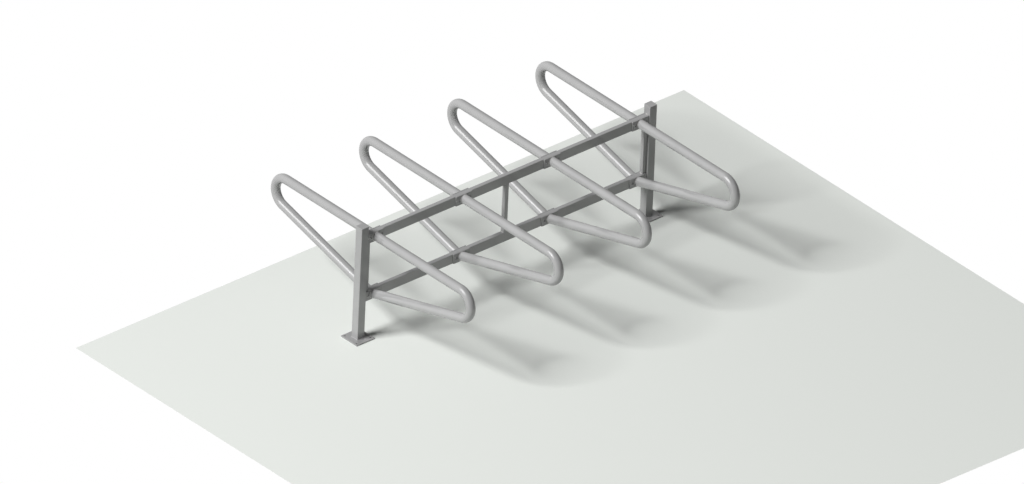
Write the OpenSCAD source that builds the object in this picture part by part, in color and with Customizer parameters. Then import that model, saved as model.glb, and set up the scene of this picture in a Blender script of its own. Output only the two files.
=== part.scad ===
// Double-sided bicycle rack. Two square posts on base plates carry a ladder frame of two rails,
// and bent-tube leaning hoops are clamped to both rails: each hoop has a half to the front
// and a half to the back, and flat plates bolted through the rails hold the four tube ends.
// Millimetres. X runs along the rails, -Y is the front and +Z is up.
// The origin is on the ground, midway between the posts.

/* [Posts] */
// Height of the posts' tops above the upper rail's axis
post_over_rail = 100; // [60:1:200]
// Outer width of the square posts
post_w = 60; // [50:1:90]
// Wall thickness of the posts
post_wall = 3; // [2:0.5:5]
// Outer corner radius of the posts
post_corner_r = 4; // [1:0.5:6]
// Thickness of the plate that closes the top of each post
cap_t = 5; // [2:0.5:8]

/* [Base plates] */
// Side of the square base plates
base_w = 155; // [130:1:220]
// Thickness of the base plates
base_t = 8; // [5:0.5:15]
// Diameter of the anchor holes
anchor_hole_d = 14; // [9:0.5:18]
// Distance from the edges of a base plate to the centre of an anchor hole
anchor_inset = 20; // [14:1:24]

/* [Ladder frame] */
// Height of the upper rail's axis above the ground
upper_rail_z = 738; // [680:1:800]
// Height of the lower rail's axis above the ground
lower_rail_z = 306; // [200:1:380]
// Height of the rails' section, which the clamp plates share
rail_h = 70; // [68:1:90]
// Depth of the rails' section, which the uprights share
rail_d = 30; // [20:1:48]
// Wall thickness of the rails
rail_wall = 3; // [2:0.5:5]
// Width of the uprights, measured along the rails
upright_w = 30; // [20:1:40]
// Wall thickness of the uprights
upright_wall = 2.5; // [2:0.5:4]
// Outer corner radius of the rails and uprights
frame_corner_r = 3; // [1:0.5:5]

/* [Hoops] */
// Number of hoops along the rack
hoop_count = 4; // [1:1:6]
// Distance from one hoop to the next
hoop_pitch = 750; // [500:5:1000]
// Outer diameter of the hoop tube
tube_d = 63.5; // [42:0.5:65]
// Wall thickness of the hoop tube
tube_wall = 2.5; // [1.5:0.5:4]
// Distance from the middle of the rack to the outermost point of a hoop
hoop_reach = 983; // [700:1:1200]
// Radius of the outer bend, measured on the tube's axis
bend_r = 103; // [80:1:140]

/* [Clamp plates] */
// Length of the clamp plates along the rails
clamp_l = 140; // [130:1:180]
// Thickness of the clamp plates
clamp_t = 8; // [5:0.5:12]
// Corner radius of the clamp plates
clamp_corner_r = 3; // [1:0.5:8]
// Distance from the ends of a clamp plate to the bolts
bolt_inset = 20; // [14:1:22]
// Gap between the outermost clamp plates and the posts
clamp_gap = 1; // [0.5:0.5:30]

/* [Bolts] */
// Diameter of the clamp bolts
bolt_d = 10; // [6:1:12]
// Clearance all round a bolt in its holes
bolt_clearance = 0.5; // [0.2:0.1:1.5]
// Diameter of the domed bolt heads
head_d = 17.5; // [16:0.5:22]
// Height of the domed bolt heads
head_h = 5.5; // [4:0.5:7.5]
// Width across the flats of the socket in a bolt head
socket_w = 6; // [4:0.5:7]
// Depth of the socket in a bolt head
socket_depth = 3; // [2:0.5:3.5]
// Outer diameter of the washers
washer_d = 20; // [18:0.5:26]
// Thickness of the washers
washer_t = 2; // [1:0.5:4]
// Width across the flats of the nuts
nut_w = 17; // [16:0.5:22]
// Height of the nuts
nut_h = 8; // [5:0.5:12]
// Length of bolt that stands out of its nut
bolt_end = 4; // [1:0.5:10]

/* [Hidden] */
$fn = 64;
// Flats in each rounded corner of a square section or a plate
corner_flats = 4;
// Least inner corner radius of a hollow section
least_inner_r = 0.5;
// Clearance all round a bolt in its nut, standing for the thread
thread_clearance = 0.05;
// How far a cutting shape runs past the faces that it cuts
overcut = 5;
// A leg's wall is this much thinner on each face than its bend's, so that they meet in a clean edge
seam_step = 0.02;

first_hoop_x = -(hoop_count - 1) * hoop_pitch / 2;
post_inner_x = clamp_l / 2 + clamp_gap - first_hoop_x;
post_x = post_inner_x + post_w / 2;
post_l = upper_rail_z + post_over_rail - cap_t - base_t;
clamp_face_y = rail_d / 2 + clamp_t;
bolt_hole_d = bolt_d + 2 * bolt_clearance;

// A half-hoop runs level from the upper rail to the bend, round the bend, and then straight
// down to the lower rail, where its axis meets the clamp plate at mid height.
// Angles here are measured round the bend's centre, from the outward direction.
bend_y = hoop_reach - tube_d / 2 - bend_r;
bend_z = upper_rail_z - bend_r;
foot_to_bend = norm([clamp_face_y - bend_y, lower_rail_z - bend_z]);
foot_angle = atan2(lower_rail_z - bend_z, clamp_face_y - bend_y);
leg_angle = foot_angle + acos(bend_r / foot_to_bend);
leg_l = sqrt(foot_to_bend ^ 2 - bend_r ^ 2);

function numbered(name) = [for (i = [1:hoop_count]) str(name, "_", i)];

function hoop_x(i) = first_hoop_x + (i - 1) * hoop_pitch;

// Corner points of a rectangle with rounded corners, centred on the origin
function rounded_rectangle(w, d, r) = [
    for (corner = [0:3], flat = [0:corner_flats])
        let (angle = 90 * (corner + flat / corner_flats),
             side_x = corner == 0 || corner == 3 ? 1 : -1,
             side_y = corner < 2 ? 1 : -1)
        [side_x * (w / 2 - r) + r * cos(angle), side_y * (d / 2 - r) + r * sin(angle)]
];

// A length of rectangular tube, standing on the XY plane
module box_tube(w, d, wall, corner_r, l)
    linear_extrude(l) difference() {
        polygon(rounded_rectangle(w, d, corner_r));
        polygon(rounded_rectangle(w - 2 * wall, d - 2 * wall, max(corner_r - wall, least_inner_r)));
    }

module ring(outer_d, inner_d)
    difference() {
        circle(d = outer_d);
        circle(d = inner_d);
    }

// Puts a shape at the two bolts of hoop i at height z, with its Z axis pointing to the back
// and its origin in the middle of the rail
module at_bolts(i, z)
    for (side = [-1, 1])
        translate([hoop_x(i) + side * (clamp_l / 2 - bolt_inset), 0, z]) rotate([-90, 0, 0]) children();

module at_all_bolts()
    for (i = [1:hoop_count], z = [upper_rail_z, lower_rail_z]) at_bolts(i, z) children();

// The holes for the two bolts of hoop i at height z, through both clamp plates and the rail
module bolt_holes(i, z)
    at_bolts(i, z) cylinder(d = bolt_hole_d, h = 2 * (clamp_face_y + overcut), center = true);

module base_plate(side) {
    hole_x = base_w / 2 - anchor_inset;
    color("darkgray") translate([side * post_x, 0, 0]) difference() {
        translate([-base_w / 2, -base_w / 2, 0]) cube([base_w, base_w, base_t]);
        for (x = [-hole_x, hole_x], y = [-hole_x, hole_x])
            translate([x, y, -overcut]) cylinder(d = anchor_hole_d, h = base_t + 2 * overcut);
    }
}

module post(side)
    color("silver") translate([side * post_x, 0, base_t])
        box_tube(post_w, post_w, post_wall, post_corner_r, post_l);

module post_cap(side)
    color("lightgray") translate([side * post_x, 0, base_t + post_l])
        linear_extrude(cap_t) polygon(rounded_rectangle(post_w, post_w, post_corner_r));

// A rail reaches from post to post and is drilled through for the bolts of every hoop
module rail(z)
    color("silver") difference() {
        translate([-post_inner_x, 0, z]) rotate([90, 0, 90])
            box_tube(rail_d, rail_h, rail_wall, frame_corner_r, 2 * post_inner_x);
        for (i = [1:hoop_count]) bolt_holes(i, z);
    }

// An upright fills the height between the two rails
module upright(x)
    color("silver") translate([x, 0, lower_rail_z + rail_h / 2])
        box_tube(upright_w, rail_d, upright_wall, frame_corner_r, upper_rail_z - lower_rail_z - rail_h);

// The section of the hoop tube, or of a wall that is thinner by trim on each face
module tube_section(trim = 0)
    ring(tube_d - 2 * trim, tube_d - 2 * tube_wall + 2 * trim);

// The outer bend of a half-hoop round its centre: half a turn from straight up,
// cut off square where the leg starts
module hoop_bend() {
    outer_r = bend_r + tube_d;
    difference() {
        rotate([180, 0, 90]) rotate_extrude(angle = 180)
            translate([bend_r, 0]) tube_section();
        rotate(leg_angle) translate([-outer_r, -outer_r, -tube_d]) cube([2 * outer_r, outer_r, 2 * tube_d]);
    }
}

// A half-hoop in its own plane: X points outwards from the middle of the rack and Y points up
module half_hoop() {
    leg_over = tube_d;
    difference() {
        union() {
            translate([clamp_face_y, upper_rail_z, 0]) rotate([0, 90, 0])
                linear_extrude(bend_y - clamp_face_y) tube_section();
            translate([bend_y, bend_z, 0]) {
                hoop_bend();
                rotate(leg_angle) translate([bend_r, 0, 0]) rotate([90, 0, 0])
                    linear_extrude(leg_l + leg_over) tube_section(seam_step);
            }
        }
        // The leg is cut off flush with the face of the lower clamp plate
        translate([clamp_face_y - 2 * leg_over, lower_rail_z - leg_over, -leg_over])
            cube(2 * leg_over);
    }
}

// The half of hoop i to the back (side = 1) or to the front (side = -1)
module hoop(i, side)
    color("silver") translate([hoop_x(i), 0, 0]) rotate([90, 0, side * 90]) half_hoop();

// A clamp plate of hoop i, against the back or front face of the rail at height z
module clamp_plate(i, side, z)
    color("darkgray") difference() {
        translate([hoop_x(i), side * (rail_d + clamp_t) / 2, z]) rotate([90, 0, 0])
            linear_extrude(clamp_t, center = true) polygon(rounded_rectangle(clamp_l, rail_h, clamp_corner_r));
        bolt_holes(i, z);
    }

// A bolt with a domed socket head that bears on the front clamp plate
module clamp_bolt() {
    dome_r = ((head_d / 2) ^ 2 + head_h ^ 2) / (2 * head_h);
    translate([0, 0, -clamp_face_y]) difference() {
        union() {
            intersection() {
                translate([0, 0, dome_r - head_h]) sphere(dome_r);
                translate([0, 0, -head_h]) cylinder(d = head_d, h = head_h);
            }
            cylinder(d = bolt_d, h = 2 * clamp_face_y + washer_t + nut_h + bolt_end);
        }
        translate([0, 0, -head_h - overcut])
            cylinder(d = socket_w / cos(30), h = socket_depth + overcut, $fn = 6);
    }
}

module clamp_bolts()
    color("dimgray") at_all_bolts() clamp_bolt();

module clamp_washers()
    color("dimgray") at_all_bolts() translate([0, 0, clamp_face_y])
        linear_extrude(washer_t) ring(washer_d, bolt_hole_d);

module clamp_nuts()
    color("dimgray") at_all_bolts() translate([0, 0, clamp_face_y + washer_t])
        linear_extrude(nut_h) difference() {
            circle(d = nut_w / cos(30), $fn = 6);
            circle(d = bolt_d + 2 * thread_clearance);
        }

base_plate(-1);  // base_plate_left
base_plate(1);  // base_plate_right
post(-1);  // post_left
post(1);  // post_right
post_cap(-1);  // post_cap_left
post_cap(1);  // post_cap_right
rail(upper_rail_z);  // upper_rail
rail(lower_rail_z);  // lower_rail
upright(upright_w / 2 - post_inner_x);  // end_upright_left
upright(post_inner_x - upright_w / 2);  // end_upright_right
upright(0);  // centre_upright
for (i = [1:hoop_count]) {
    hoop(i, -1);
    hoop(i, 1);
    clamp_plate(i, -1, upper_rail_z);
    clamp_plate(i, 1, upper_rail_z);
    clamp_plate(i, -1, lower_rail_z);
    clamp_plate(i, 1, lower_rail_z);
}
clamp_bolts();
clamp_washers();
clamp_nuts();
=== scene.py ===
# %% [markdown]
# # A double-sided rack for streets and parks
# The rack is a welded ladder frame on two posts, with eight bent half-hoops bolted across it.
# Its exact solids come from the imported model, where every node already has its place and its
# size. This file dresses them: each part is modelled again with clean faces, softened edges and
# weld beads, and gets a steel finish. The whole rack stands still, so every piece rides on "root".

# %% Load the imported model
import math

import bmesh
import bpy
from mathutils import Matrix, Vector


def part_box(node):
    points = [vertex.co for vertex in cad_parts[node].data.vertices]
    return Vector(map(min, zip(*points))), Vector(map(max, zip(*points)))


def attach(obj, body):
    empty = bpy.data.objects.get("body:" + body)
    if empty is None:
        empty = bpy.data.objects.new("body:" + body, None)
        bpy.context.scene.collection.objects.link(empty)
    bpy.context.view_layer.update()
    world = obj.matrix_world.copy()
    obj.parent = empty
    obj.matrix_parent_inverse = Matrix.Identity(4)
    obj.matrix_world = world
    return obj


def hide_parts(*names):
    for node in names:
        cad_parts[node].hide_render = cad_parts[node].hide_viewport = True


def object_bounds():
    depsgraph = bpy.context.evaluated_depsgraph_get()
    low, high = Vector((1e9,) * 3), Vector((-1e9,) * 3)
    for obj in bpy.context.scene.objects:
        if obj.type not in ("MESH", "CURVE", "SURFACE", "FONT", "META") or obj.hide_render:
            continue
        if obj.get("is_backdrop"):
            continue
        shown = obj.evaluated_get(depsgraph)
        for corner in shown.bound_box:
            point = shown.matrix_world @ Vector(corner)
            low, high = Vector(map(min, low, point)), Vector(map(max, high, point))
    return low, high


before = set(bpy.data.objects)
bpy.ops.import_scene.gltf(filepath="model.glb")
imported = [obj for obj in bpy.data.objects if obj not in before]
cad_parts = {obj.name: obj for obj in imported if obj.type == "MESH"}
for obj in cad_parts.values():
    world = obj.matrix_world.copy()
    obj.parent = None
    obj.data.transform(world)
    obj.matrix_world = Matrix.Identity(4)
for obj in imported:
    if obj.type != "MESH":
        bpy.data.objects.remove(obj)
cad_low, cad_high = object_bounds()
MM = 0.001
BODY = "root"
cad_size = [round(x, 4) for x in cad_high - cad_low]
print("the packed rack has", len(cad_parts), "nodes and measures", cad_size, "m")

# %% [markdown]
# ## Sizes
# A size that a node's box shows is read from that box, so the pieces always fit the solids.
# Walls, radii and the like can't be seen in a box, so they are named here with the values that
# the part was made with.

# %% Read the sizes
HOOPS = (1, 2, 3, 4)
SIDES = {"front": -1, "back": 1}
LEVELS = ("upper", "lower")


def size_of(node):
    low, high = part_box(node)
    return high - low


def middle_of(node):
    low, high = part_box(node)
    return (low + high) / 2


hoop_x = {i: middle_of(f"hoop_front_{i}").x for i in HOOPS}
rail_z = {level: middle_of(f"{level}_rail").z for level in LEVELS}
rail_size = size_of("upper_rail")
clamp_size = size_of("upper_clamp_front_1")
clamp_face = rail_size.y / 2 + clamp_size.y
tube_r = size_of("hoop_front_1").x / 2
hoop_reach = cad_high.y

SECTION_WALL = 3 * MM
UPRIGHT_WALL = 2.5 * MM
TUBE_WALL = 2.5 * MM
POST_CORNER = 4 * MM
SECTION_CORNER = 3 * MM
BEND_R = 103 * MM
BOLT_OFF_MIDDLE = 50 * MM
BOLT_HOLE_R = 5.5 * MM
tube_across = round(2 * tube_r / MM, 2)
print("hoops at x", [round(x, 3) for x in hoop_x.values()], "m, tube", tube_across, "mm across")

# %% [markdown]
# ## Camera
# The picture is a parallel projection, so the camera is orthographic. It looks down at the rack
# from its front left corner. Its three angles and the scale come from fitting the rack's corners
# to the picture, so the render and the picture can be laid over each other.

# %% Place the camera
PICTURE_W = 1024
PIXELS_PER_METRE = 156.057
LOOK_TURN = math.radians(42.36288)  # from +Y towards +X
LOOK_DOWN = math.radians(31.42726)
CAMERA_ROLL = math.radians(2.43851)
PICTURE_MIDDLE = (0.05022, -0.11897)  # right of and above the aim, in the picture's plane
AIM = Vector((0, 0, 0.4))
CAMERA_AWAY = 12
CAMERA_REACH = 60

level_look = math.cos(LOOK_DOWN)
look_x, look_y = level_look * math.sin(LOOK_TURN), level_look * math.cos(LOOK_TURN)
look = Vector((look_x, look_y, -math.sin(LOOK_DOWN)))
flat_right = Vector((math.cos(LOOK_TURN), -math.sin(LOOK_TURN), 0))
flat_up = flat_right.cross(look)
right = math.cos(CAMERA_ROLL) * flat_right + math.sin(CAMERA_ROLL) * flat_up
up = math.cos(CAMERA_ROLL) * flat_up - math.sin(CAMERA_ROLL) * flat_right

camera_data = bpy.data.cameras.new("camera")
camera_data.type = "ORTHO"
camera_data.ortho_scale = PICTURE_W / PIXELS_PER_METRE
camera_data.clip_end = CAMERA_REACH
camera = bpy.data.objects.new("camera", camera_data)
bpy.context.scene.collection.objects.link(camera)
turned = Matrix((right, up, -look)).transposed().to_4x4()
stand = AIM + PICTURE_MIDDLE[0] * right + PICTURE_MIDDLE[1] * up - CAMERA_AWAY * look
camera.matrix_world = Matrix.Translation(stand) @ turned
bpy.context.scene.camera = camera
bpy.context.scene.view_settings.view_transform = "Standard"
print("the picture is", round(camera_data.ortho_scale, 3), "m wide")

# %% [markdown]
# ## Shader helpers
# Node trees are easier to read when adding a node and wiring it takes one line. `node` makes a
# node, sets its options and fills its inputs with a value or with another node's output. Sums on
# numbers and on vectors come up all the time, so they get a helper each.

# %% Write the node helpers


def node(tree, kind, inputs=None, **options):
    made = tree.nodes.new(kind)
    for option, value in options.items():
        setattr(made, option, value)
    for socket, value in (inputs or {}).items():
        if isinstance(value, bpy.types.NodeSocket):
            tree.links.new(value, made.inputs[socket])
        else:
            made.inputs[socket].default_value = value
    return made


def sums(tree, operation, *numbers):
    return node(tree, "ShaderNodeMath", dict(enumerate(numbers)), operation=operation).outputs[0]


def vector_sums(tree, operation, *vectors):
    made = node(tree, "ShaderNodeVectorMath", dict(enumerate(vectors)), operation=operation)
    return made.outputs["Value" if operation in ("DISTANCE", "DOT_PRODUCT") else "Vector"]


def new_material(name):
    material = bpy.data.materials.new(name)
    material.use_nodes = True
    material.node_tree.nodes.clear()
    return material, material.node_tree


def grey(value):
    return (value, value, value, 1)


print("a mid grey is", grey(0.5))

# %% [markdown]
# ## Floor
# The rack stands on a flat rectangle of pale, faintly green ground that lies square to it, and
# past its edges everything is white. A plain matt floor is enough, because all it has to show is
# the soft shadow. It lies a hair below the base plates, so that no two faces share one plane.

# %% Lay the floor
FLOOR_Z = -0.5 * MM
FLOOR_LOW = Vector((-2.741, -3.637, FLOOR_Z))
FLOOR_HIGH = Vector((2.433, 1.014, FLOOR_Z))
FLOOR_COLOUR = (0.75, 0.774, 0.742, 1)

floor_mesh = bpy.data.meshes.new("floor")
bm = bmesh.new()
bmesh.ops.create_grid(bm, x_segments=1, y_segments=1, size=0.5)
floor_size = FLOOR_HIGH - FLOOR_LOW
bmesh.ops.scale(bm, vec=(floor_size.x, floor_size.y, 1), verts=bm.verts)
bmesh.ops.translate(bm, vec=(FLOOR_LOW + FLOOR_HIGH) / 2, verts=bm.verts)
bm.to_mesh(floor_mesh)
bm.free()
floor = bpy.data.objects.new("floor", floor_mesh)
bpy.context.scene.collection.objects.link(floor)
floor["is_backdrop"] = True

floor_material, tree = new_material("pale_ground")
values = {"Base Color": FLOOR_COLOUR, "Roughness": 1.0, "Specular IOR Level": 0.0}
matt = node(tree, "ShaderNodeBsdfPrincipled", values)
node(tree, "ShaderNodeOutputMaterial", {"Surface": matt.outputs["BSDF"]})
floor_mesh.materials.append(floor_material)
print("the floor measures", [round(x, 3) for x in floor_size.xy], "m")

# %% [markdown]
# ## Light
# Every shadow falls the same way, to the right and a little to the front, however far its part
# stands from the others, so the lamp is far away. The shadows are wide and soft, so it is also
# large and fills some 23 degrees of the sky. An area light in the shape of a disc does both. Its
# power is worked out from the light that has to reach the rack.

# %% Hang the lamp
LAMP_HEIGHT = math.radians(42.3)
LAMP_BEARING = math.radians(167.6)  # from +X towards +Y: on the left and slightly behind
LAMP_AWAY = 62
LAMP_SPREAD = math.radians(22.8)
LAMP_STRENGTH = 4.6

level_lamp = math.cos(LAMP_HEIGHT)
lamp_x, lamp_y = level_lamp * math.cos(LAMP_BEARING), level_lamp * math.sin(LAMP_BEARING)
to_lamp = Vector((lamp_x, lamp_y, math.sin(LAMP_HEIGHT)))

lamp_data = bpy.data.lights.new("softbox", "AREA")
lamp_data.shape = "DISK"
lamp_data.size = 2 * LAMP_AWAY * math.tan(LAMP_SPREAD / 2)
lamp_data.energy = math.pi * LAMP_AWAY**2 * LAMP_STRENGTH
lamp = bpy.data.objects.new("softbox", lamp_data)
bpy.context.scene.collection.objects.link(lamp)
lamp.visible_glossy = False  # its mirror image is the soft glow in the world
facing = (-to_lamp).to_track_quat("-Z", "Y").to_matrix().to_4x4()
lamp.matrix_world = Matrix.Translation(AIM + LAMP_AWAY * to_lamp) @ facing
print("the lamp is", round(lamp_data.size, 1), "m across and", LAMP_AWAY, "m away")

# %% [markdown]
# ### The lamp's bright rim
# Inside each soft shadow there are crisp lines, and a lamp draws those only when its rim is
# brighter than its middle. A lamp may have a shader of its own, and there Parametric tells where
# on the disc a point lies, from 0 to 1 in both directions. How far that is from the middle, as a
# share of the disc's radius and raised to a power, is how much of the rim's extra light the point
# gets. The gain is worked out so that the disc's mean stays 1.

# %% Brighten the lamp's rim
LAMP_MIDDLE = 0.45  # how bright the middle of the disc is, where 1 is its mean
RIM_POWER = 3  # how suddenly it gets brighter towards its rim
DISC_R = 0.5  # the disc's radius as Parametric counts it

lamp_data.use_nodes = True
tree = lamp_data.node_tree
tree.nodes.clear()
spot = node(tree, "ShaderNodeNewGeometry").outputs["Parametric"]
flat = vector_sums(tree, "MULTIPLY", spot, (1, 1, 0))
off_middle = vector_sums(tree, "DISTANCE", flat, (DISC_R, DISC_R, 0))
raised = sums(tree, "POWER", sums(tree, "DIVIDE", off_middle, DISC_R), RIM_POWER)
rim_gain = (1 - LAMP_MIDDLE) * (RIM_POWER + 2) / 2
strength = sums(tree, "MULTIPLY_ADD", raised, rim_gain, LAMP_MIDDLE)
cloth = node(tree, "ShaderNodeEmission", {"Strength": strength})
node(tree, "ShaderNodeOutputLight", {"Surface": cloth.outputs[0]})
print("the lamp's rim is", round((LAMP_MIDDLE + rim_gain) / LAMP_MIDDLE, 1), "times its middle")

# %% [markdown]
# ### The room that the steel mirrors
# The steel mirrors a simple room: a white wall at the back left that gets dimmer round to the
# other side, a dim ceiling, and a soft glow where the lamp hangs. The lamp itself is hidden from
# reflections, because its mirror image would burn out on smooth steel. A world's Generated
# coordinates are the direction looked in, so each part of the room is a ramp on how far that
# direction turns away from one of its own.

# %% Build the room
BRIGHT_BEARING = math.radians(135)  # the white backdrop stands on this side
BACKDROP = 1.0
DIM_SIDE = 0.5
WALL_DIM, WALL_WHITE = -0.1, 0.75  # cosines from that bearing at which the wall stops changing
CEILING = 0.3
CEILING_FROM, CEILING_WHOLE = 0.8, 0.97  # sines of the heights between which the ceiling starts
GLOW = 4.3
GLOW_CORE = math.cos(math.radians(9))
GLOW_END = math.cos(math.radians(28))

world = bpy.data.worlds.new("studio")
bpy.context.scene.world = world
world.use_nodes = True
tree = world.node_tree
tree.nodes.clear()


def world_ramp(value, low, high, at_low, at_high, kind="SMOOTHSTEP"):
    values = {"Value": value, "From Min": low, "From Max": high}
    values |= {"To Min": at_low, "To Max": at_high}
    return node(tree, "ShaderNodeMapRange", values, interpolation_type=kind).outputs["Result"]


direction = node(tree, "ShaderNodeTexCoord").outputs["Generated"]
height = node(tree, "ShaderNodeSeparateXYZ", {"Vector": direction}).outputs["Z"]
bright_side = (math.cos(BRIGHT_BEARING), math.sin(BRIGHT_BEARING), 0)
to_bright_side = vector_sums(tree, "DOT_PRODUCT", direction, bright_side)
walls = world_ramp(to_bright_side, WALL_DIM, WALL_WHITE, DIM_SIDE, BACKDROP)
overhead = world_ramp(height, CEILING_FROM, CEILING_WHOLE, 0.0, 1.0)
room = node(tree, "ShaderNodeMix", {"Factor": overhead, "A": walls, "B": CEILING})
to_glow = vector_sums(tree, "DOT_PRODUCT", direction, to_lamp)
glow = world_ramp(to_glow, GLOW_END, GLOW_CORE, 0.0, GLOW, "LINEAR")
mirrored = sums(tree, "MAXIMUM", room.outputs["Result"], glow)
print("the room's walls go from", DIM_SIDE, "to", BACKDROP, "and its glow reaches", GLOW)

# %% [markdown]
# ### What each kind of ray sees
# The camera sees plain white past the floor's edges, and mirrored rays see the room. Nearly all
# matt light comes from the lamp, so for the rest the world is only a faint fill, which keeps the
# ground right behind the posts from going black. Light Path tells these rays apart.

# %% Tell the rays apart
FILL = 0.04


def shining(strength):
    return node(tree, "ShaderNodeBackground", {"Color": grey(1), "Strength": strength}).outputs[0]


ray = node(tree, "ShaderNodeLightPath").outputs
sharp = sums(tree, "MAXIMUM", ray["Is Glossy Ray"], ray["Is Transmission Ray"])
lit = node(tree, "ShaderNodeMixShader", {0: sharp, 1: shining(FILL), 2: shining(mirrored)})
seen = node(
    tree, "ShaderNodeMixShader", {0: ray["Is Camera Ray"], 1: lit.outputs[0], 2: shining(1.0)}
)
node(tree, "ShaderNodeOutputWorld", {"Surface": seen.outputs[0]})
print("the studio's world has", len(tree.nodes), "nodes")

# %% [markdown]
# ## Effects that the finishes share
# All the rack's steel has the same three traces of how it was made and used: fine lines that the
# rolling mill or the brush left along each length, faint clouds where the skin is duller, and
# edges rubbed bright. Each is a node group, so that tubes, plates and bolts use it with values
# of their own. The groups only put out numbers: the shader itself stays in each material.

# %% Start a node group
NUMBER = "NodeSocketFloat"
VECTOR = "NodeSocketVector"


def new_group(name, inputs, outputs):
    group = bpy.data.node_groups.new(name, "ShaderNodeTree")
    for label, (kind, value) in inputs.items():
        socket = group.interface.new_socket(label, in_out="INPUT", socket_type=kind)
        if value is not None:
            socket.default_value = value
    for label in outputs:
        group.interface.new_socket(label, in_out="OUTPUT", socket_type=NUMBER)
    return group, group.nodes.new("NodeGroupInput").outputs, group.nodes.new("NodeGroupOutput")


def inputs_of(group):
    return [item.name for item in group.interface.items_tree if item.in_out == "INPUT"]


print("the shader groups take values of the kinds", NUMBER, "and", VECTOR)

# %% [markdown]
# ### Brushed grain
# Grain runs along a length and never across it. A noise whose Z is squeezed gives long lines,
# and its coordinates come from an attribute in which every piece lies straight along Z, so the
# lines follow a bent tube round its bend.

# %% Make the grain
grain, given, result = new_group(
    "brushed_grain",
    {"Place": (VECTOR, None), "Lines per metre": (NUMBER, 900.0), "Squeeze": (NUMBER, 0.012)},
    ["Lines"],
)
stretch = node(grain, "ShaderNodeCombineXYZ", {0: 1.0, 1: 1.0, 2: given["Squeeze"]}).outputs[0]
squeezed = vector_sums(grain, "MULTIPLY", given["Place"], stretch)
values = {"Vector": squeezed, "Scale": given["Lines per metre"], "Detail": 3.0, "Roughness": 0.6}
lines = node(grain, "ShaderNodeTexNoise", values).outputs["Fac"]
grain.links.new(lines, result.inputs["Lines"])
print(grain.name, "takes", inputs_of(grain))

# %% [markdown]
# ### Clouded skin
# A broad noise whose coordinates are bent a little gives soft blotches a hand wide. Only its
# middle range is used, so that some skin is quite clear and some quite clouded.

# %% Make the clouds
clouds, given, result = new_group(
    "clouded_skin", {"Place": (VECTOR, None), "Clouds per metre": (NUMBER, 7.0)}, ["Clouds"]
)
values = {"Vector": given["Place"], "Scale": given["Clouds per metre"]}
values |= {"Detail": 4.0, "Roughness": 0.55, "Distortion": 0.4}
broad = node(clouds, "ShaderNodeTexNoise", values).outputs["Fac"]
even = node(clouds, "ShaderNodeMapRange", {"Value": broad, "From Min": 0.3, "From Max": 0.7})
clouds.links.new(even.outputs["Result"], result.inputs["Clouds"])
print(clouds.name, "takes", inputs_of(clouds))

# %% [markdown]
# ### Rubbed edges
# The softened edges carry a face attribute, so wear needs no guess from the shape. A small noise
# breaks it up, because no edge is rubbed evenly.

# %% Make the wear
wear, given, result = new_group(
    "rubbed_edges",
    {"Edge": (NUMBER, 0.0), "Place": (VECTOR, None), "Amount": (NUMBER, 0.6)},
    ["Rubbed"],
)
values = {"Vector": given["Place"], "Scale": 60.0, "Detail": 3.0}
patches = node(wear, "ShaderNodeTexNoise", values).outputs["Fac"]
values = {"Value": patches, "From Min": 0.35, "From Max": 0.65}
uneven = node(wear, "ShaderNodeMapRange", values).outputs["Result"]
amount = sums(wear, "MULTIPLY", given["Amount"], given["Edge"])
wear.links.new(sums(wear, "MULTIPLY", amount, uneven), result.inputs["Rubbed"])
print(wear.name, "takes", inputs_of(wear))

# %% [markdown]
# ## Steel finishes
# The steel is a mid grey that both scatters the lamp's light and mirrors what is round it, like
# a satin skin. A surface that is part metal and quite smooth does both at once. The grain and
# the clouds move its colour by a few per cent and its roughness by some ten, and rubbed edges
# are lighter.

# %% Write the steel recipe
GRAIN_DEPTH = 0.003 * MM
WORN_GAIN = 1.25  # how much lighter a rubbed edge is
ROUGH_LINES = (0.9, 1.1)  # how far the fine lines move the roughness, and then the clouds
ROUGH_CLOUDS = (0.9, 1.15)


def steel(name, colour, metal, roughness, lines=900.0, cloudiness=0.05, wear_amount=0.6):
    material, tree = new_material(name)
    place = node(tree, "ShaderNodeAttribute", attribute_name="grain_place").outputs["Vector"]
    edge = node(tree, "ShaderNodeAttribute", attribute_name="worn").outputs["Fac"]

    def effect(group, inputs):
        values = {"Place": place, **inputs}
        return node(tree, "ShaderNodeGroup", values, node_tree=group).outputs[0]

    def moved(value, low, high):
        values = {"Value": value, "To Min": low, "To Max": high}
        return node(tree, "ShaderNodeMapRange", values).outputs["Result"]

    fine = effect(grain, {"Lines per metre": lines})
    blotch = effect(clouds, {})
    rub = effect(wear, {"Edge": edge, "Amount": wear_amount})

    lined = moved(fine, 1 - cloudiness, 1 + cloudiness)
    shade = sums(tree, "MULTIPLY", lined, moved(blotch, 1 - cloudiness / 2, 1 + cloudiness / 2))
    values = {0: colour[:3], "Scale": shade}
    tone = node(tree, "ShaderNodeVectorMath", values, operation="SCALE").outputs["Vector"]
    values = {"Factor": rub, "A": tone, "B": [part * WORN_GAIN for part in colour[:3]] + [1]}
    worn_tone = node(tree, "ShaderNodeMix", values, data_type="RGBA").outputs["Result"]

    rough_lines = moved(fine, *(roughness * share for share in ROUGH_LINES))
    rough = sums(tree, "MULTIPLY", rough_lines, moved(blotch, *ROUGH_CLOUDS))
    values = {"Height": fine, "Distance": GRAIN_DEPTH, "Strength": 1.0}
    relief = node(tree, "ShaderNodeBump", values).outputs["Normal"]
    values = {"Base Color": worn_tone, "Roughness": rough, "Metallic": metal, "Normal": relief}
    surface = node(tree, "ShaderNodeBsdfPrincipled", values)
    node(tree, "ShaderNodeOutputMaterial", {"Surface": surface.outputs["BSDF"]})
    return material


print("a rubbed edge is", WORN_GAIN, "times as light as the steel beside it")

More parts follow.
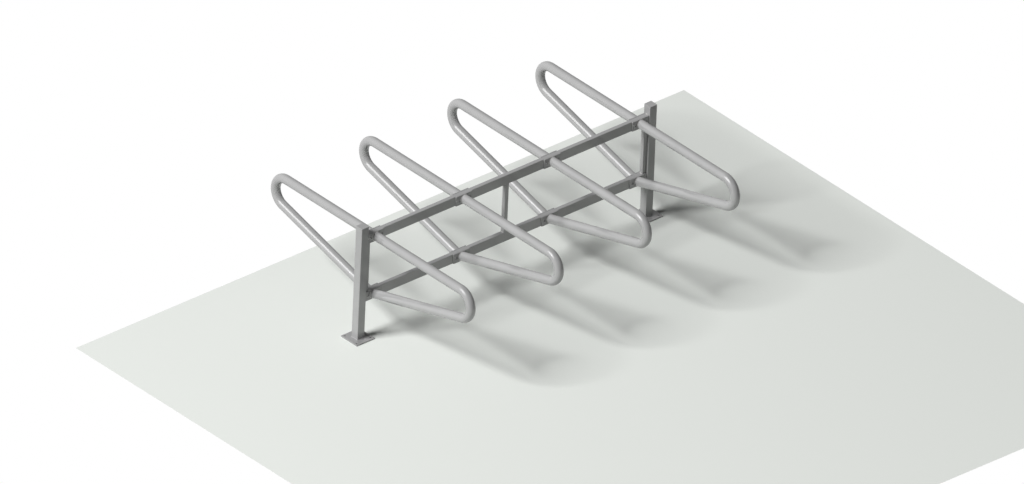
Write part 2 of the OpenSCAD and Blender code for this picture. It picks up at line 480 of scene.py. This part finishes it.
# %% [markdown]
# ### The five finishes
# Frame, tubes and plates are the same satin steel, each a shade off the others as they come from
# different stock. Bolts are more metallic and brushed finer. Weld beads are rougher and cloudier,
# a little warm from the heat, and too uneven to be rubbed bright.

# %% Mix the finishes
frame_finish = steel("satin_frame_steel", grey(0.355), metal=0.15, roughness=0.05)
hoop_finish = steel("satin_tube_steel", grey(0.378), metal=0.2, roughness=0.05)
plate_finish = steel("satin_plate_steel", grey(0.34), metal=0.2, roughness=0.04)
bolt_finish = steel("bolt_steel", grey(0.30), metal=0.7, roughness=0.25, lines=2500.0)
WELD_TONE = (0.40, 0.39, 0.38, 1)
weld_finish = steel(
    "weld_steel", WELD_TONE, metal=0.5, roughness=0.3, cloudiness=0.1, wear_amount=0.0
)
finishes = (frame_finish, hoop_finish, plate_finish, bolt_finish, weld_finish)
print("finishes:", [finish.name for finish in finishes])

# %% [markdown]
# ## Starting a mesh
# Every mesh starts with two attributes that the finishes read: one marks a face as worn, and one
# gives each point its place along the grain. The grain runs along X, Y or Z, so a point's place
# is its position turned until that axis is Z.

# %% Lay out the attributes


def start_mesh():
    bm = bmesh.new()
    bm.faces.layers.float.new("worn")
    bm.verts.layers.float_vector.new("grain_place")
    return bm


def along_x(point):
    return Vector((point.y, point.z, point.x))


def along_y(point):
    return Vector((point.z, point.x, point.y))


def along_z(point):
    return point.copy()


print("grain along X turns (1, 2, 3) into", along_x(Vector((1, 2, 3))).to_tuple())

# %% [markdown]
# ## Picking and placing
# An operator gives back its new points, edges and faces in one list, so two helpers pick out the
# points and the edges. `put` takes a whole mesh to its place.

# %% Pick and place


def points_of(grown):
    return [part for part in grown if isinstance(part, bmesh.types.BMVert)]


def edges_of(grown):
    return [part for part in grown if isinstance(part, bmesh.types.BMEdge)]


def put(bm, matrix):
    bmesh.ops.transform(bm, matrix=matrix, verts=bm.verts)


print("helpers: points_of, edges_of and put")

# %% [markdown]
# ## Turning a mesh into a piece
# Every piece ends the same way. Its points get their grain coordinates, its mesh goes to an
# object at the origin, curved faces are shaded smooth while true corners stay sharp, it is told
# what it rides on, and the solids that it stands for are hidden.

# %% Write the finishing step
SMOOTH_BELOW = math.radians(40)
CM3 = 1e6  # cubic centimetres in a cubic metre


def make_piece(name, bm, finish, slot, *solids, grain_runs=along_x):
    layer = bm.verts.layers.float_vector["grain_place"]
    for vert in bm.verts:
        vert[layer] = grain_runs(vert.co)
    volume = bm.calc_volume(signed=True)
    closed = all(edge.is_manifold for edge in bm.edges)
    mesh = bpy.data.meshes.new(name)
    bm.to_mesh(mesh)
    bm.free()
    mesh.shade_smooth()
    mesh.set_sharp_from_angle(angle=SMOOTH_BELOW)
    mesh.materials.append(finish)
    piece = bpy.data.objects.new(name, mesh)
    bpy.context.scene.collection.objects.link(piece)
    even = piece.modifiers.new("flat faces stay flat", "WEIGHTED_NORMAL")
    even.keep_sharp = True
    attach(piece, BODY)
    if solids:
        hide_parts(*solids)
    state = "closed" if closed else "NOT CLOSED"
    print(f"{name}: {len(mesh.polygons)} faces, {volume * CM3:.1f} cm3, {state}")


print("edges that turn less than", round(math.degrees(SMOOTH_BELOW)), "degrees are shaded smooth")

# %% [markdown]
# ## Shapes that come back
# Hollow sections, plates, washers and nuts all start as one flat face that is raised into a
# solid. A hollow section loses its two ends, and Solidify gives what is left its wall.

# %% Raise and hollow
CORNER_STEPS = 6
FACES_UP = 0.5  # an end of the tube has a normal whose Z is beyond this, up or down


def rounded_face(bm, width, depth, corner):
    bmesh.ops.create_grid(bm, x_segments=1, y_segments=1, size=0.5)
    bmesh.ops.scale(bm, vec=(width, depth, 1), verts=bm.verts)
    bmesh.ops.bevel(
        bm, geom=bm.verts[:], offset=corner, offset_type="OFFSET", segments=CORNER_STEPS,
        profile=0.5, affect="VERTICES", material=-1,
    )


def raise_face(bm, height):
    grown = bmesh.ops.extrude_face_region(bm, geom=bm.faces[:])["geom"]
    bmesh.ops.translate(bm, vec=(0, 0, height), verts=points_of(grown))
    bmesh.ops.recalc_face_normals(bm, faces=bm.faces)


def box_tube(bm, width, depth, corner, wall, length):
    rounded_face(bm, width, depth, corner)
    raise_face(bm, length)
    ends = [face for face in bm.faces if abs(face.normal.z) > FACES_UP]
    bmesh.ops.delete(bm, geom=ends, context="FACES_ONLY")
    bmesh.ops.solidify(bm, geom=bm.faces[:], thickness=wall)
    bm.normal_update()


print("a rounded corner is cut in", CORNER_STEPS, "steps")

# %% [markdown]
# ### Holes
# `drill` puts round holes through two facing walls. It opens both walls, fills them again round
# circles, and bridges each pair of circles, so the hole gets a clean bore without any cutting.

# %% Drill
HOLE_STEPS = 32
Y_AXIS, Z_AXIS = 1, 2
FACING = 0.99  # a wall across the drill has at least this much of its normal along it
SAME_LEVEL = 0.01 * MM


def edges_round(points):
    """The edges of a loop of points, each of them once."""
    return list(dict.fromkeys(edge for point in points for edge in point.link_edges))


def open_wall(bm, axis, level):
    """Take away the wall at this level and give back its outline."""
    facing = [face for face in bm.faces if abs(face.normal[axis]) > FACING]
    wall = [face for face in facing if abs(face.calc_center_median()[axis] - level) < SAME_LEVEL]
    edges = [edge for face in wall for edge in face.edges]
    outline = [edge for edge in edges if sum(face in wall for face in edge.link_faces) == 1]
    bmesh.ops.delete(bm, geom=wall, context="FACES_ONLY")
    return outline


def drill(bm, spots, radius, axis, near, far):
    across = Matrix.Rotation(math.pi / 2, 4, "X") if axis == Y_AXIS else Matrix.Identity(4)
    rims = []
    for level in (near, far):
        outline = open_wall(bm, axis, level)
        circles = []
        for spot in spots:
            centre = Vector(spot)
            centre[axis] = level
            place = Matrix.Translation(centre) @ across
            made = bmesh.ops.create_circle(
                bm, cap_ends=False, segments=HOLE_STEPS, radius=radius, matrix=place
            )
            circles.append(edges_round(made["verts"]))
        rings = [edge for circle in circles for edge in circle]
        bmesh.ops.triangle_fill(bm, use_beauty=True, edges=outline + rings)
        rims.append(circles)
    for first, second in zip(*rims):
        bmesh.ops.bridge_loops(bm, edges=first + second)
    bmesh.ops.recalc_face_normals(bm, faces=bm.faces)


print("a drilled hole has", HOLE_STEPS, "sides")

# %% [markdown]
# ### Soft edges
# No edge of real steel is quite sharp. `soften` bevels the sharp ones and marks the new faces as
# the place where steel is rubbed.

# %% Soften
SHARP_FROM = math.radians(50)


def soften(bm, width, steps=2):
    sharp = [edge for edge in bm.edges if edge.is_manifold and edge.calc_face_angle() > SHARP_FROM]
    cut = bmesh.ops.bevel(
        bm, geom=sharp, offset=width, offset_type="OFFSET", segments=steps, profile=0.5,
        affect="EDGES", material=-1,
    )
    worn = bm.faces.layers.float["worn"]
    for face in cut["faces"]:
        face[worn] = 1.0


print("edges that turn more than", round(math.degrees(SHARP_FROM)), "degrees are softened")

# %% [markdown]
# ### Outlines
# Bolts and weld beads are outlines that are spun or swept. `draw` lays an outline in the mesh,
# and `spin_round` turns it once round Z and merges its end with its start.

# %% Draw and spin


def draw(bm, places, closed=False):
    """Edges from place to place, and back to the first one where the outline is closed."""
    points = [bm.verts.new(place) for place in places]
    pairs = list(zip(points[-1:] + points, points))
    return points, [bm.edges.new(pair) for pair in (pairs if closed else pairs[1:])]


def spin_round(bm, outline, steps, closed=False):
    """Turn an outline, given in pairs of radius and height, all round Z."""
    points, edges = draw(bm, [(radius, 0, height) for radius, height in outline], closed)
    bmesh.ops.spin(
        bm, geom=points + edges, cent=(0, 0, 0), axis=(0, 0, 1), angle=2 * math.pi, steps=steps,
        use_merge=True,
    )


print("helpers: draw and spin_round")

# %% [markdown]
# ## Base plates
# Each post stands on a square plate, flat on the ground, with an open hole near each corner for
# an anchor. It is cut from thick plate, so it is one raised face with four drilled holes and
# edges that are barely softened.

# %% Make the base plates
ANCHOR_INSET = 20 * MM
ANCHOR_HOLE_R = 7 * MM
BASE_CORNER = 1.5 * MM
PLATE_EDGE = 0.8 * MM
ENDS = ("left", "right")

for end in ENDS:
    base = size_of(f"base_plate_{end}")
    centre = middle_of(f"base_plate_{end}")
    bm = start_mesh()
    rounded_face(bm, base.x, base.y, BASE_CORNER)
    raise_face(bm, base.z)
    hole = base.x / 2 - ANCHOR_INSET
    anchor_spots = [(x, y, 0) for x in (-hole, hole) for y in (-hole, hole)]
    drill(bm, anchor_spots, ANCHOR_HOLE_R, Z_AXIS, 0, base.z)
    soften(bm, PLATE_EDGE)
    put(bm, Matrix.Translation((centre.x, centre.y, 0)))
    make_piece(f"foot_plate_{end}", bm, plate_finish, "plate_steel", f"base_plate_{end}")

# %% [markdown]
# ## Posts and their lids
# A post is square tube, welded to its base plate and closed by a plate of its own outline. The
# lid is softened a little more than the tube's end, which leaves the fine line of the joint.

# %% Make the posts
TUBE_END_EDGE = 0.4 * MM

for end in ENDS:
    low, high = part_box(f"post_{end}")
    bm = start_mesh()
    box_tube(bm, high.x - low.x, high.y - low.y, POST_CORNER, SECTION_WALL, high.z - low.z)
    soften(bm, TUBE_END_EDGE)
    put(bm, Matrix.Translation(((low.x + high.x) / 2, (low.y + high.y) / 2, low.z)))
    post = f"post_{end}"
    make_piece(f"post_tube_{end}", bm, frame_finish, "frame_steel", post, grain_runs=along_z)

    low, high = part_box(f"post_cap_{end}")
    bm = start_mesh()
    rounded_face(bm, high.x - low.x, high.y - low.y, POST_CORNER)
    raise_face(bm, high.z - low.z)
    soften(bm, PLATE_EDGE)
    put(bm, Matrix.Translation(((low.x + high.x) / 2, (low.y + high.y) / 2, low.z)))
    make_piece(f"post_lid_{end}", bm, frame_finish, "frame_steel", f"post_cap_{end}")

# %% [markdown]
# ## Rails and uprights
# The two rails are rectangular tube on edge, from post to post, and every bolt passes through
# both of their walls. Each rail is made standing up and then laid along X before it is drilled,
# once through the front wall and once through the back one. The uprights need no holes.

# %% Make the rails and uprights
STAND_TO_LIE = Matrix.Rotation(math.pi / 2, 4, "Y")
bolt_x = [x + side * BOLT_OFF_MIDDLE for x in hoop_x.values() for side in (-1, 1)]
bolt_spots = [(x, 0, 0) for x in bolt_x]

for level in LEVELS:
    low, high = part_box(f"{level}_rail")
    bm = start_mesh()
    box_tube(bm, high.z - low.z, high.y - low.y, SECTION_CORNER, SECTION_WALL, high.x - low.x)
    put(bm, Matrix.Translation((low.x, 0, 0)) @ STAND_TO_LIE)
    bm.normal_update()
    outside = rail_size.y / 2
    inside = outside - SECTION_WALL
    for side in (-1, 1):
        drill(bm, bolt_spots, BOLT_HOLE_R, Y_AXIS, side * outside, side * inside)
    soften(bm, TUBE_END_EDGE)
    put(bm, Matrix.Translation((0, 0, rail_z[level])))
    make_piece(f"rail_tube_{level}", bm, frame_finish, "frame_steel", f"{level}_rail")

for upright in ("end_upright_left", "end_upright_right", "centre_upright"):
    low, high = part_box(upright)
    bm = start_mesh()
    box_tube(bm, high.x - low.x, high.y - low.y, SECTION_CORNER, UPRIGHT_WALL, high.z - low.z)
    soften(bm, TUBE_END_EDGE)
    put(bm, Matrix.Translation(((low.x + high.x) / 2, 0, low.z)))
    make_piece(f"{upright}_tube", bm, frame_finish, "frame_steel", upright, grain_runs=along_z)

# %% [markdown]
# ## Half-hoops
# A half-hoop is one length of round tube. It leaves the upper clamp plate level, goes round a
# bend, and comes back straight to the lower plate. A pipe bender makes it in that order, and so
# do the operators: a circle is extruded, spun round the bend's centre and extruded again, and its
# last ring is slid along the tube onto the plate. Solidify then gives the shell its wall.

# %% Find the hoop's path
bend_y = hoop_reach - tube_r - BEND_R
bend_z = rail_z["upper"] - BEND_R
foot_y, foot_z = clamp_face - bend_y, rail_z["lower"] - bend_z
foot_away = math.hypot(foot_y, foot_z)
leg_turn = math.atan2(foot_z, foot_y) + math.acos(BEND_R / foot_away)
bend_sweep = math.pi / 2 - leg_turn
straight_l = bend_y - clamp_face
bend_l = BEND_R * bend_sweep
leg_l = math.sqrt(foot_away**2 - BEND_R**2)
print("bend", round(math.degrees(bend_sweep), 2), "degrees, leg", round(leg_l, 4), "m")

# %% [markdown]
# The grain has to follow the tube round its bend. So `straightened` tells, for a point of the
# bent tube, where it would lie on a straight one: along the top, round the bend or down the leg.

# %% Straighten the grain


def straightened(point, x, side):
    """Where a point of the hoop would be with the tube laid straight along Z."""
    out, height = side * point.y - bend_y, point.z - bend_z
    turned_by = math.atan2(out, height)
    if turned_by < 0 and height > 0:
        return Vector((point.x - x, height - BEND_R, straight_l + out))
    if 0 <= turned_by <= bend_sweep:
        along = straight_l + BEND_R * turned_by
        return Vector((point.x - x, math.hypot(out, height) - BEND_R, along))
    along = out * math.cos(bend_sweep) - height * math.sin(bend_sweep)
    across = out * math.sin(bend_sweep) + height * math.cos(bend_sweep)
    return Vector((point.x - x, across - BEND_R, straight_l + bend_l + along))


print("laid straight, a half-hoop is", round(straight_l + bend_l + leg_l, 3), "m long")

# %% [markdown]
# Solidify moves the new inner ring at the leg's foot off the plate, so after it that ring is slid
# back along the leg.

# %% Bend the hoops
TUBE_STEPS = 64
BEND_STEPS = 48


def bend_half_hoop(x, side):
    bm = start_mesh()
    on_plate = Matrix.Translation((x, side * clamp_face, rail_z["upper"]))
    place = on_plate @ Matrix.Rotation(math.pi / 2, 4, "X")
    bmesh.ops.create_circle(bm, cap_ends=False, segments=TUBE_STEPS, radius=tube_r, matrix=place)
    grown = bmesh.ops.extrude_edge_only(bm, edges=bm.edges[:])["geom"]
    ring = points_of(grown)
    bmesh.ops.translate(bm, vec=(0, side * straight_l, 0), verts=ring)
    spun = bmesh.ops.spin(
        bm, geom=ring + edges_of(grown), cent=(x, side * bend_y, bend_z), axis=(1, 0, 0),
        angle=-side * bend_sweep, steps=BEND_STEPS, use_duplicate=False,
    )["geom_last"]
    foot = points_of(bmesh.ops.extrude_edge_only(bm, edges=edges_of(spun))["geom"])
    leg = Vector((0, side * math.cos(bend_sweep), -math.sin(bend_sweep)))
    for vert in foot:
        vert.co += leg * ((side * clamp_face - vert.co.y) / leg.y)
    bmesh.ops.recalc_face_normals(bm, faces=bm.faces)
    bmesh.ops.solidify(bm, geom=bm.faces[:], thickness=TUBE_WALL)
    for vert in bm.verts:
        off_plate = side * clamp_face - vert.co.y
        if vert.co.z < bend_z and abs(off_plate) < TUBE_WALL:
            vert.co += leg * (off_plate / leg.y)
    bm.normal_update()
    return bm


for i in HOOPS:
    for face, side in SIDES.items():
        bm = bend_half_hoop(hoop_x[i], side)
        make_piece(
            f"hoop_tube_{face}_{i}", bm, hoop_finish, "hoop_steel", f"hoop_{face}_{i}",
            grain_runs=lambda point, x=hoop_x[i], side=side: straightened(point, x, side),
        )

# %% [markdown]
# ## Clamp plates
# Both ends of each tube are welded to a flat plate as high as the rail, and two bolts hold it.
# It is made lying down, drilled, softened and then stood against the rail.

# %% Make the clamp plates
CLAMP_CORNER = 3 * MM
LIE_TO_STAND = Matrix.Rotation(math.pi / 2, 4, "X")
clamp_spots = [(x, 0, 0) for x in (-BOLT_OFF_MIDDLE, BOLT_OFF_MIDDLE)]

for i in HOOPS:
    for level in LEVELS:
        for face, side in SIDES.items():
            bm = start_mesh()
            rounded_face(bm, clamp_size.x, clamp_size.z, CLAMP_CORNER)
            raise_face(bm, clamp_size.y)
            drill(bm, clamp_spots, BOLT_HOLE_R, Z_AXIS, 0, clamp_size.y)
            soften(bm, PLATE_EDGE)
            back_face = side * (rail_size.y + clamp_size.y) / 2 + clamp_size.y / 2
            put(bm, Matrix.Translation((hoop_x[i], back_face, rail_z[level])) @ LIE_TO_STAND)
            solid = f"{level}_clamp_{face}_{i}"
            make_piece(f"clamp_plate_{level}_{face}_{i}", bm, plate_finish, "plate_steel", solid)

# %% [markdown]
# ## Bolts, washers and nuts
# Domed bolts with a hexagon socket come in from the front and end in a washer and a nut at the
# back. A bolt is a turned part, so it is drawn as an outline first: pairs of radius and height,
# from the rim of the socket over the dome and down the shank to the threads past the nut.

# %% Draw the bolt's outline
HEXAGON_FLAT = math.cos(math.pi / 6)  # a hexagon's inner radius over its outer one
HEAD_R = 8.75 * MM
HEAD_H = 5.5 * MM
BOLT_R = 5 * MM
SOCKET_RING_R = 3.9 * MM
WASHER_R = 10 * MM
WASHER_T = 2 * MM
NUT_R = 8.5 * MM / HEXAGON_FLAT
NUT_H = 8 * MM
BOLT_END = 4 * MM
THREAD_PITCH = 1.5 * MM
THREAD_DEPTH = 0.6 * MM
DOME_STEPS = 8


def bolt_outline():
    """A bolt along Z with its head's bearing face at -clamp_face."""
    dome_r = (HEAD_R**2 + HEAD_H**2) / (2 * HEAD_H)
    dome_z = -clamp_face - HEAD_H + dome_r
    first, last = math.asin(SOCKET_RING_R / dome_r), math.asin(HEAD_R / dome_r)
    turns = [first + (last - first) * k / DOME_STEPS for k in range(DOME_STEPS + 1)]
    outline = [(dome_r * math.sin(t), dome_z - dome_r * math.cos(t)) for t in turns]
    thread_from = clamp_face + WASHER_T + NUT_H
    tip = thread_from + BOLT_END
    outline += [(BOLT_R, -clamp_face), (BOLT_R, thread_from)]
    z = thread_from
    while z + THREAD_PITCH < tip - THREAD_DEPTH:
        outline += [(BOLT_R - THREAD_DEPTH, z + THREAD_PITCH / 2), (BOLT_R, z + THREAD_PITCH)]
        z += THREAD_PITCH
    return outline + [(BOLT_R - THREAD_DEPTH, tip)]


print("the bolt's outline has", len(bolt_outline()), "points")

# %% [markdown]
# The outline is spun round the bolt's axis, and the tail is closed. The socket is a hexagon that
# is bridged to the open ring on top of the dome and pushed down. It is cut into as many edges as
# the ring has, so that the two can be bridged one to one.

# %% Turn a bolt
SOCKET_R = 3 * MM / HEXAGON_FLAT
SOCKET_DEPTH = 3 * MM
TURN_STEPS = 24


def sink_socket(bm, ring):
    at_ring = Matrix.Translation((0, 0, ring[0].verts[0].co.z))
    made = bmesh.ops.create_circle(bm, cap_ends=False, segments=6, radius=SOCKET_R, matrix=at_ring)
    cuts = TURN_STEPS // 6 - 1
    bmesh.ops.subdivide_edges(bm, edges=edges_round(made["verts"]), cuts=cuts)
    hexagon = [edge for edge in bm.edges if not edge.link_faces]
    bmesh.ops.bridge_loops(bm, edges=ring + hexagon)
    grown = bmesh.ops.extrude_edge_only(bm, edges=hexagon)["geom"]
    bmesh.ops.translate(bm, vec=(0, 0, SOCKET_DEPTH), verts=points_of(grown))
    bmesh.ops.contextual_create(bm, geom=edges_of(grown))


def turn_bolt(bm):
    spin_round(bm, bolt_outline(), TURN_STEPS)
    open_ends = [edge for edge in bm.edges if len(edge.link_faces) == 1]
    tail = [edge for edge in open_ends if edge.verts[0].co.z > 0]
    ring = [edge for edge in open_ends if edge.verts[0].co.z < 0]
    bmesh.ops.contextual_create(bm, geom=tail)
    sink_socket(bm, ring)
    bmesh.ops.recalc_face_normals(bm, faces=bm.faces)


print("the socket is", round(2 * SOCKET_R * HEXAGON_FLAT / MM, 1), "mm across its flats")

# %% [markdown]
# One fastener is made once and copied to its sixteen places. The copies stay separate shells in
# one mesh, as they are separate solids in one node.

# %% Place the bolts
ALONG_Y = Matrix.Rotation(-math.pi / 2, 4, "X")
fastener_places = [
    Matrix.Translation((x, 0, rail_z[level])) @ ALONG_Y for x in bolt_x for level in LEVELS
]


def repeat(bm, places):
    first = bm.verts[:] + bm.edges[:] + bm.faces[:]
    for place in places[1:]:
        copied = bmesh.ops.duplicate(bm, geom=first)["geom"]
        bmesh.ops.transform(bm, matrix=place, verts=points_of(copied))
    bmesh.ops.transform(bm, matrix=places[0], verts=points_of(first))


bm = start_mesh()
turn_bolt(bm)
repeat(bm, fastener_places)
make_piece("bolt_set", bm, bolt_finish, "fastener_steel", "clamp_bolts", grain_runs=along_y)

# %% [markdown]
# A washer is a raised circle with a drilled hole. A nut starts as a raised hexagon, and its
# corners are cut off as a real nut's are.

# %% Add the washers and nuts
WASHER_EDGE = 0.3 * MM
NUT_CUT = 1.2 * MM
NUT_BORE_R = 5.05 * MM

bm = start_mesh()
bmesh.ops.create_circle(bm, cap_ends=True, segments=HOLE_STEPS, radius=WASHER_R)
raise_face(bm, WASHER_T)
drill(bm, [(0, 0, 0)], BOLT_HOLE_R, Z_AXIS, 0, WASHER_T)
soften(bm, WASHER_EDGE, steps=1)
put(bm, Matrix.Translation((0, 0, clamp_face)))
repeat(bm, fastener_places)
make_piece("washer_set", bm, bolt_finish, "fastener_steel", "clamp_washers")

bm = start_mesh()
bmesh.ops.create_circle(bm, cap_ends=True, segments=6, radius=NUT_R)
raise_face(bm, NUT_H)
bmesh.ops.bevel(
    bm, geom=bm.verts[:], offset=NUT_CUT, offset_type="OFFSET", segments=1, profile=0.5,
    affect="VERTICES", material=-1,
)
drill(bm, [(0, 0, 0)], NUT_BORE_R, Z_AXIS, 0, NUT_H)
put(bm, Matrix.Translation((0, 0, clamp_face + WASHER_T)))
repeat(bm, fastener_places)
make_piece("nut_set", bm, bolt_finish, "fastener_steel", "clamp_nuts")

# %% [markdown]
# ## Weld beads
# Welds hold the tubes to their plates, the posts to their feet and the frame together. A bead
# is a small rounded ridge in the corner between two parts, with the ripples that the welder's
# hand leaves. The solids have no welds, so these are pieces of their own. All beads share one
# outline: spun round a round tube, extruded round a square one and swept along a straight seam.

# %% Write the beads' outline and ripples
RIPPLE_PITCH = 4 * MM
RIPPLE = 0.3 * MM
BITE = 0.5 * MM  # how far a bead reaches into the steel under it
WIDE, LOW = 0.75, 0.45  # where a bead's round back starts, as shares of its size


def bead_outline(size):
    """Pairs of how far out from the tube and how high above the plate."""
    back = [(WIDE * size, LOW * size), (LOW * size, WIDE * size)]
    return [(-BITE, 0), (size, 0), *back, (0, size), (-BITE, size)]


def ripple(bm, phase_of):
    bmesh.ops.recalc_face_normals(bm, faces=bm.faces)
    bm.normal_update()
    moves = [(v, v.normal * RIPPLE * math.sin(phase_of(v.co))) for v in bm.verts if v.co.z > BITE]
    for vert, move in moves:
        vert.co += move


def join(whole, bm):
    part = bpy.data.meshes.new("bead")
    bm.to_mesh(part)
    bm.free()
    whole.from_mesh(part)
    bpy.data.meshes.remove(part)


print("a bead has a ripple every", round(RIPPLE_PITCH / MM, 1), "mm")

# %% [markdown]
# ### Round beads
# Each half-hoop has two beads, one on each of its plates. The leg meets the lower plate at a
# slant, so its bead is a circle stretched into an ellipse.

# %% Weld the hoops
BEAD_STEPS = 96
HOOP_BEAD = {"upper": 2.8 * MM, "lower": 1.9 * MM}
leg_slant = {"upper": 1.0, "lower": 1 / abs(math.cos(bend_sweep))}


def round_bead(radius, size):
    """A bead on the XY plane round a tube of this radius."""
    bm = start_mesh()
    outline = [(radius + out, height) for out, height in bead_outline(size)]
    spin_round(bm, outline, BEAD_STEPS, closed=True)
    ripples = round(2 * math.pi * radius / RIPPLE_PITCH)
    ripple(bm, lambda co: ripples * math.atan2(co.y, co.x))
    return bm


for i in HOOPS:
    for face, side in SIDES.items():
        whole = start_mesh()
        for level in LEVELS:
            bm = round_bead(tube_r, HOOP_BEAD[level])
            bmesh.ops.scale(bm, vec=(1, leg_slant[level], 1), verts=bm.verts)
            put(bm, Matrix.Rotation(-side * math.pi / 2, 4, "X"))
            put(bm, Matrix.Translation((hoop_x[i], side * clamp_face, rail_z[level])))
            join(whole, bm)
        make_piece(f"weld_hoop_{face}_{i}", whole, weld_finish, "hoop_steel", grain_runs=along_y)

# %% [markdown]
# ### Square beads
# A post is welded to its base plate all round. A rounded square is extruded from one point of the
# bead's outline to the next and drawn wider or higher each time, until it is back where it began
# and its ends are merged. Its straight sides are cut finely enough to carry the ripples. This
# bead is finished like the post, because post and foot are coated together.

# %% Weld the posts to their feet
FOOT_BEAD = 3 * MM
SIDE_CUTS = 50
MERGE_WITHIN = 0.01 * MM


def square_bead(width, corner, size):
    """A bead on the XY plane round a square tube."""
    bm = start_mesh()
    outline = bead_outline(size)
    half = width / 2 + outline[0][0]
    rounded_face(bm, 2 * half, 2 * half, corner)
    bmesh.ops.delete(bm, geom=bm.faces[:], context="FACES_ONLY")
    sides = [edge for edge in bm.edges if edge.calc_length() > half]
    bmesh.ops.subdivide_edges(bm, edges=sides, cuts=SIDE_CUTS)
    rim, z = bm.edges[:], 0
    for out, height in outline[1:] + outline[:1]:
        grown = bmesh.ops.extrude_edge_only(bm, edges=rim)["geom"]
        verts, rim = points_of(grown), edges_of(grown)
        wider = (width / 2 + out) / half
        bmesh.ops.scale(bm, vec=(wider, wider, 1), verts=verts)
        bmesh.ops.translate(bm, vec=(0, 0, height - z), verts=verts)
        half, z = width / 2 + out, height
    bmesh.ops.remove_doubles(bm, verts=bm.verts[:], dist=MERGE_WITHIN)
    ripple(bm, lambda co: 2 * math.pi * (abs(co.x) + abs(co.y)) / RIPPLE_PITCH)
    return bm


for end in ENDS:
    foot = middle_of(f"post_{end}")
    bm = square_bead(size_of(f"post_{end}").x, POST_CORNER, FOOT_BEAD)
    put(bm, Matrix.Translation((foot.x, foot.y, size_of(f"base_plate_{end}").z)))
    make_piece(f"weld_foot_{end}", bm, frame_finish, "frame_steel")

# %% [markdown]
# ### Short straight beads
# Where a rail meets a post, and where an upright meets a rail, there is a seam across the rail's
# free side. Spin without an angle sweeps the outline along a line. The first and last loops are
# drawn in, as a welder starts and ends a seam.

# %% Sweep a straight bead
SEAM_STEPS = 32
TIP_REACH = 0.1 * MM  # the first and last loops lie within this of the bead's ends
TIP_SIZE = 0.5


def straight_bead(length, size):
    """A bead along Y, in the corner between the YZ plane and the XY plane."""
    bm = start_mesh()
    places = [(out, -length / 2, height) for out, height in bead_outline(size)]
    _, edges = draw(bm, places, closed=True)
    first = bmesh.ops.contextual_create(bm, geom=edges)["faces"]
    bmesh.ops.spin(
        bm, geom=first, cent=(0, 0, 0), axis=(0, 1, 0), dvec=(0, length / SEAM_STEPS, 0), angle=0,
        steps=SEAM_STEPS, use_duplicate=False,
    )
    ripple(bm, lambda co: 2 * math.pi * co.y / RIPPLE_PITCH)
    tips = [vert for vert in bm.verts if abs(vert.co.y) > length / 2 - TIP_REACH]
    bmesh.ops.scale(bm, vec=(TIP_SIZE, 1, TIP_SIZE), verts=tips)
    return bm


seam_l = rail_size.y - 2 * SECTION_CORNER
print("a seam is", round(seam_l / MM, 1), "mm long")

# %% [markdown]
# Each seam is listed with its place and with the ways that it faces, along X and along Z. Seams
# that lie flush with the clamp plates are ground flat, so they need no bead.

# %% Weld the frame
FRAME_BEAD = 3 * MM

post_inside = size_of("upper_rail").x / 2
seams = []
for side in (-1, 1):
    seams += [(side * post_inside, rail_z["upper"] + rail_size.z / 2, -side, 1)]
    seams += [(side * post_inside, rail_z["lower"] - rail_size.z / 2, -side, -1)]
for upright in ("end_upright_left", "end_upright_right", "centre_upright"):
    low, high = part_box(upright)
    for x, outward in ((low.x, -1), (high.x, 1)):
        if abs(x) < post_inside - FRAME_BEAD:
            seams += [(x, low.z, outward, 1), (x, high.z, outward, -1)]

whole = start_mesh()
for x, z, outward, upward in seams:
    bm = straight_bead(seam_l, FRAME_BEAD)
    bmesh.ops.scale(bm, vec=(outward, 1, upward), verts=bm.verts)
    put(bm, Matrix.Translation((x, 0, z)))
    bmesh.ops.recalc_face_normals(bm, faces=bm.faces)
    join(whole, bm)
make_piece("weld_frame", whole, weld_finish, "frame_steel", grain_runs=along_y)
print("frame seams:", len(seams))

# %% [markdown]
# ## The dressed size
# Dressing must not make the rack any larger. So the bounds of the finished pieces are printed,
# to stand beside those of the solids that were printed at the start.

# %% Measure the dressed rack
low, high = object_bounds()
print("the dressed rack measures", [round(x, 4) for x in high - low], "m")
